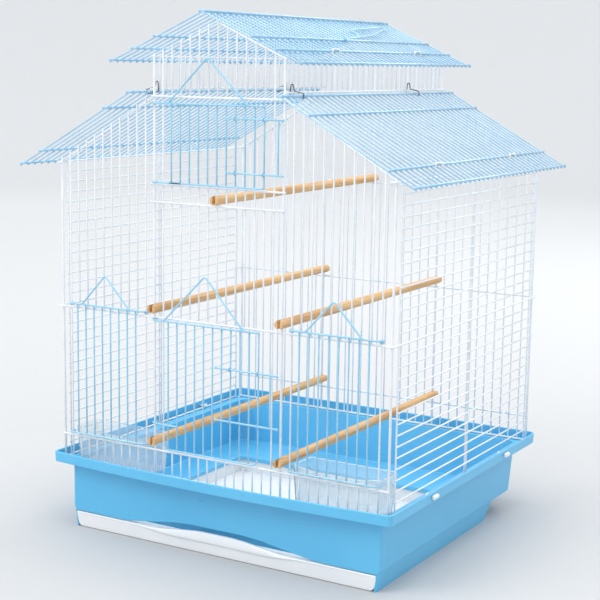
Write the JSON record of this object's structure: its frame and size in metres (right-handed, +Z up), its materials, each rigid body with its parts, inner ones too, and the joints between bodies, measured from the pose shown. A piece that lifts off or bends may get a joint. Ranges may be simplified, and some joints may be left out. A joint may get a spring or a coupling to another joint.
{
  "type": "bird cage",
  "caption": "Tabletop wire bird cage with stepped gabled roofs, a moulded tub with a pull-out litter drawer, hinged and lift-up doors, dowel perches and hung feeder cups.",
  "frame": {"origin": "On the ground, under the middle of the cage's bounding box", "axes": "+Z up, -Y towards the front with the doors, +X to the right as seen from the front"},
  "size_m": [0.5276, 0.444, 0.631],
  "materials": {
    "wire_white": "gloss",
    "wire_blue": "gloss",
    "roof_blue": "gloss",
    "tub_plastic": "gloss",
    "drawer_plastic": "gloss",
    "clip_plastic": "gloss",
    "cup_plastic": "gloss",
    "ring_steel": "satin",
    "dowel": "matte"
  },
  "bodies": {
    "cage": {"base_tub": "tub_plastic", "front_panel": "wire_white", "back_panel": "wire_white", "left_side_panel": "wire_white", "right_side_panel": "wire_white", "left_attic_wall": "wire_white", "right_attic_wall": "wire_white", "lower_roof_left": "roof_blue", "lower_roof_right": "roof_blue", "upper_roof_left": "roof_blue", "upper_roof_right": "roof_blue", "roof_staples": "wire_white", "roof_rings": "ring_steel", "perch_top": "dowel", "perch_mid_left": "dowel", "perch_mid_right": "dowel", "perch_low_left": "dowel", "perch_low_right": "dowel"},
    "drawer": {"litter_drawer": "drawer_plastic"},
    "lower_door": {"lower_door": "wire_blue"},
    "lower_latch": {"lower_door_latch": "wire_blue"},
    "upper_door": {"upper_door": "wire_blue"},
    "upper_latch": {"upper_door_latch": "wire_blue"},
    "left_feeder_door": {"left_feeder_door": "wire_blue"},
    "right_feeder_door": {"right_feeder_door": "wire_blue"},
    "left_cup": {"left_feeder_cup": "cup_plastic"},
    "right_cup": {"right_feeder_cup": "cup_plastic"},
    "handle": {"carry_handle": "wire_blue"},
    "clip_front_left": {"clip_front_left": "clip_plastic"},
    "clip_front_right": {"clip_front_right": "clip_plastic"},
    "clip_back_left": {"clip_back_left": "clip_plastic"},
    "clip_back_right": {"clip_back_right": "clip_plastic"}
  },
  "joints": [
    {"name": "drawer_slide", "type": "slide", "parent": "cage", "child": "drawer", "axis": [0, -1, 0], "range_m": [0, 0.27]},
    {"name": "lower_door_hinge", "type": "hinge", "parent": "cage", "child": "lower_door", "pos_m": [-0.0875, -0.19, 0.2], "axis": [0, 0, -1], "range_deg": [0, 115]},
    {"name": "upper_door_hinge", "type": "hinge", "parent": "cage", "child": "upper_door", "pos_m": [-0.0875, -0.19, 0.48], "axis": [0, 0, -1], "range_deg": [0, 90]},
    {"name": "lower_latch_slide", "type": "slide", "parent": "lower_door", "child": "lower_latch", "axis": [-1, 0, 0], "range_m": [0, 0.01]},
    {"name": "upper_latch_slide", "type": "slide", "parent": "upper_door", "child": "upper_latch", "axis": [-1, 0, 0], "range_m": [0, 0.01]},
    {"name": "left_feeder_door_slide", "type": "slide", "parent": "cage", "child": "left_feeder_door", "axis": [0, 0, 1], "range_m": [0, 0.14]},
    {"name": "right_feeder_door_slide", "type": "slide", "parent": "cage", "child": "right_feeder_door", "axis": [0, 0, 1], "range_m": [0, 0.14]},
    {"name": "left_cup_lift", "type": "slide", "parent": "cage", "child": "left_cup", "axis": [0, 0, 1], "range_m": [0, 0.1]},
    {"name": "right_cup_lift", "type": "slide", "parent": "cage", "child": "right_cup", "axis": [0, 0, 1], "range_m": [0, 0.1]},
    {"name": "handle_hinge", "type": "hinge", "parent": "cage", "child": "handle", "pos_m": [0.06476, -0.01781, 0.60271], "axis": [0, 1, 0], "range_deg": [0, 140]},
    {"name": "clip_front_left_slide", "type": "slide", "parent": "cage", "child": "clip_front_left", "axis": [-1, 0, 0], "range_m": [0, 0.006]},
    {"name": "clip_front_right_slide", "type": "slide", "parent": "cage", "child": "clip_front_right", "axis": [1, 0, 0], "range_m": [0, 0.006]},
    {"name": "clip_back_left_slide", "type": "slide", "parent": "cage", "child": "clip_back_left", "axis": [-1, 0, 0], "range_m": [0, 0.006]},
    {"name": "clip_back_right_slide", "type": "slide", "parent": "cage", "child": "clip_back_right", "axis": [1, 0, 0], "range_m": [0, 0.006]}
  ]
}
